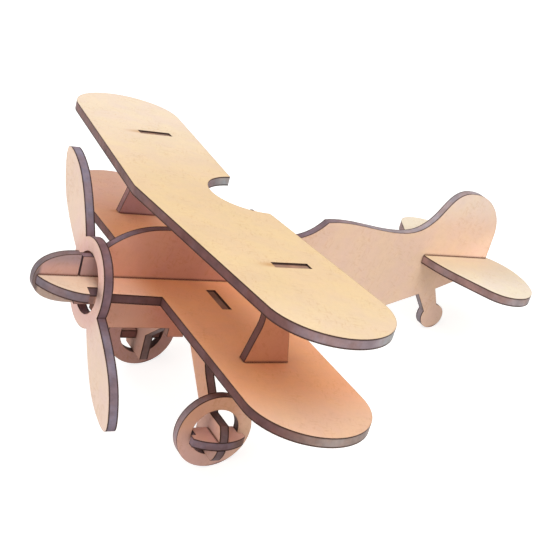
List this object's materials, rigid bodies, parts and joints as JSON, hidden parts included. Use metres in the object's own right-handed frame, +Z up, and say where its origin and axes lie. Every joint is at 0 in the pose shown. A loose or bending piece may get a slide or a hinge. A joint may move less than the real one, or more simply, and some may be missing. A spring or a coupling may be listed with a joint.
{
  "type": "biplane scale model",
  "caption": "Slot-together biplane model of flat fibreboard with a turning propeller and wheels, standing on its wheels and tail skid.",
  "frame": {"origin": "on the ground, under the middle of the bounding box, with the model standing on its two wheels and its tail skid", "axes": "+Z up, +X to port along the span, +Y aft; the thrust line rises towards the nose at -Y"},
  "size_m": [0.1788, 0.1636, 0.0834],
  "materials": {
    "mdf_level": "matt",
    "mdf_side": "matt",
    "mdf_cross": "matt"
  },
  "bodies": {
    "airframe": {"fuselage": "mdf_side", "nose_rib": "mdf_side", "nose_plate": "mdf_level", "lower_wing": "mdf_level", "upper_wing": "mdf_level", "port_strut": "mdf_side", "starboard_strut": "mdf_side", "tailplane": "mdf_level", "landing_gear": "mdf_cross", "port_axle_plate": "mdf_level", "starboard_axle_plate": "mdf_level"},
    "propeller": {"propeller": "mdf_cross"},
    "port_wheel": {"port_wheel": "mdf_side"},
    "starboard_wheel": {"starboard_wheel": "mdf_side"}
  },
  "joints": [
    {"name": "propeller_spin", "type": "hinge", "parent": "airframe", "child": "propeller", "pos_m": [0, -0.06462, 0.0547], "axis": [0, 0.9444, -0.3288], "continuous": true},
    {"name": "port_wheel_spin", "type": "hinge", "parent": "airframe", "child": "port_wheel", "pos_m": [0.0305, -0.04198, 0.0122], "axis": [1, 0, 0], "continuous": true},
    {"name": "starboard_wheel_spin", "type": "hinge", "parent": "airframe", "child": "starboard_wheel", "pos_m": [-0.0305, -0.04198, 0.0122], "axis": [1, 0, 0], "continuous": true}
  ]
}
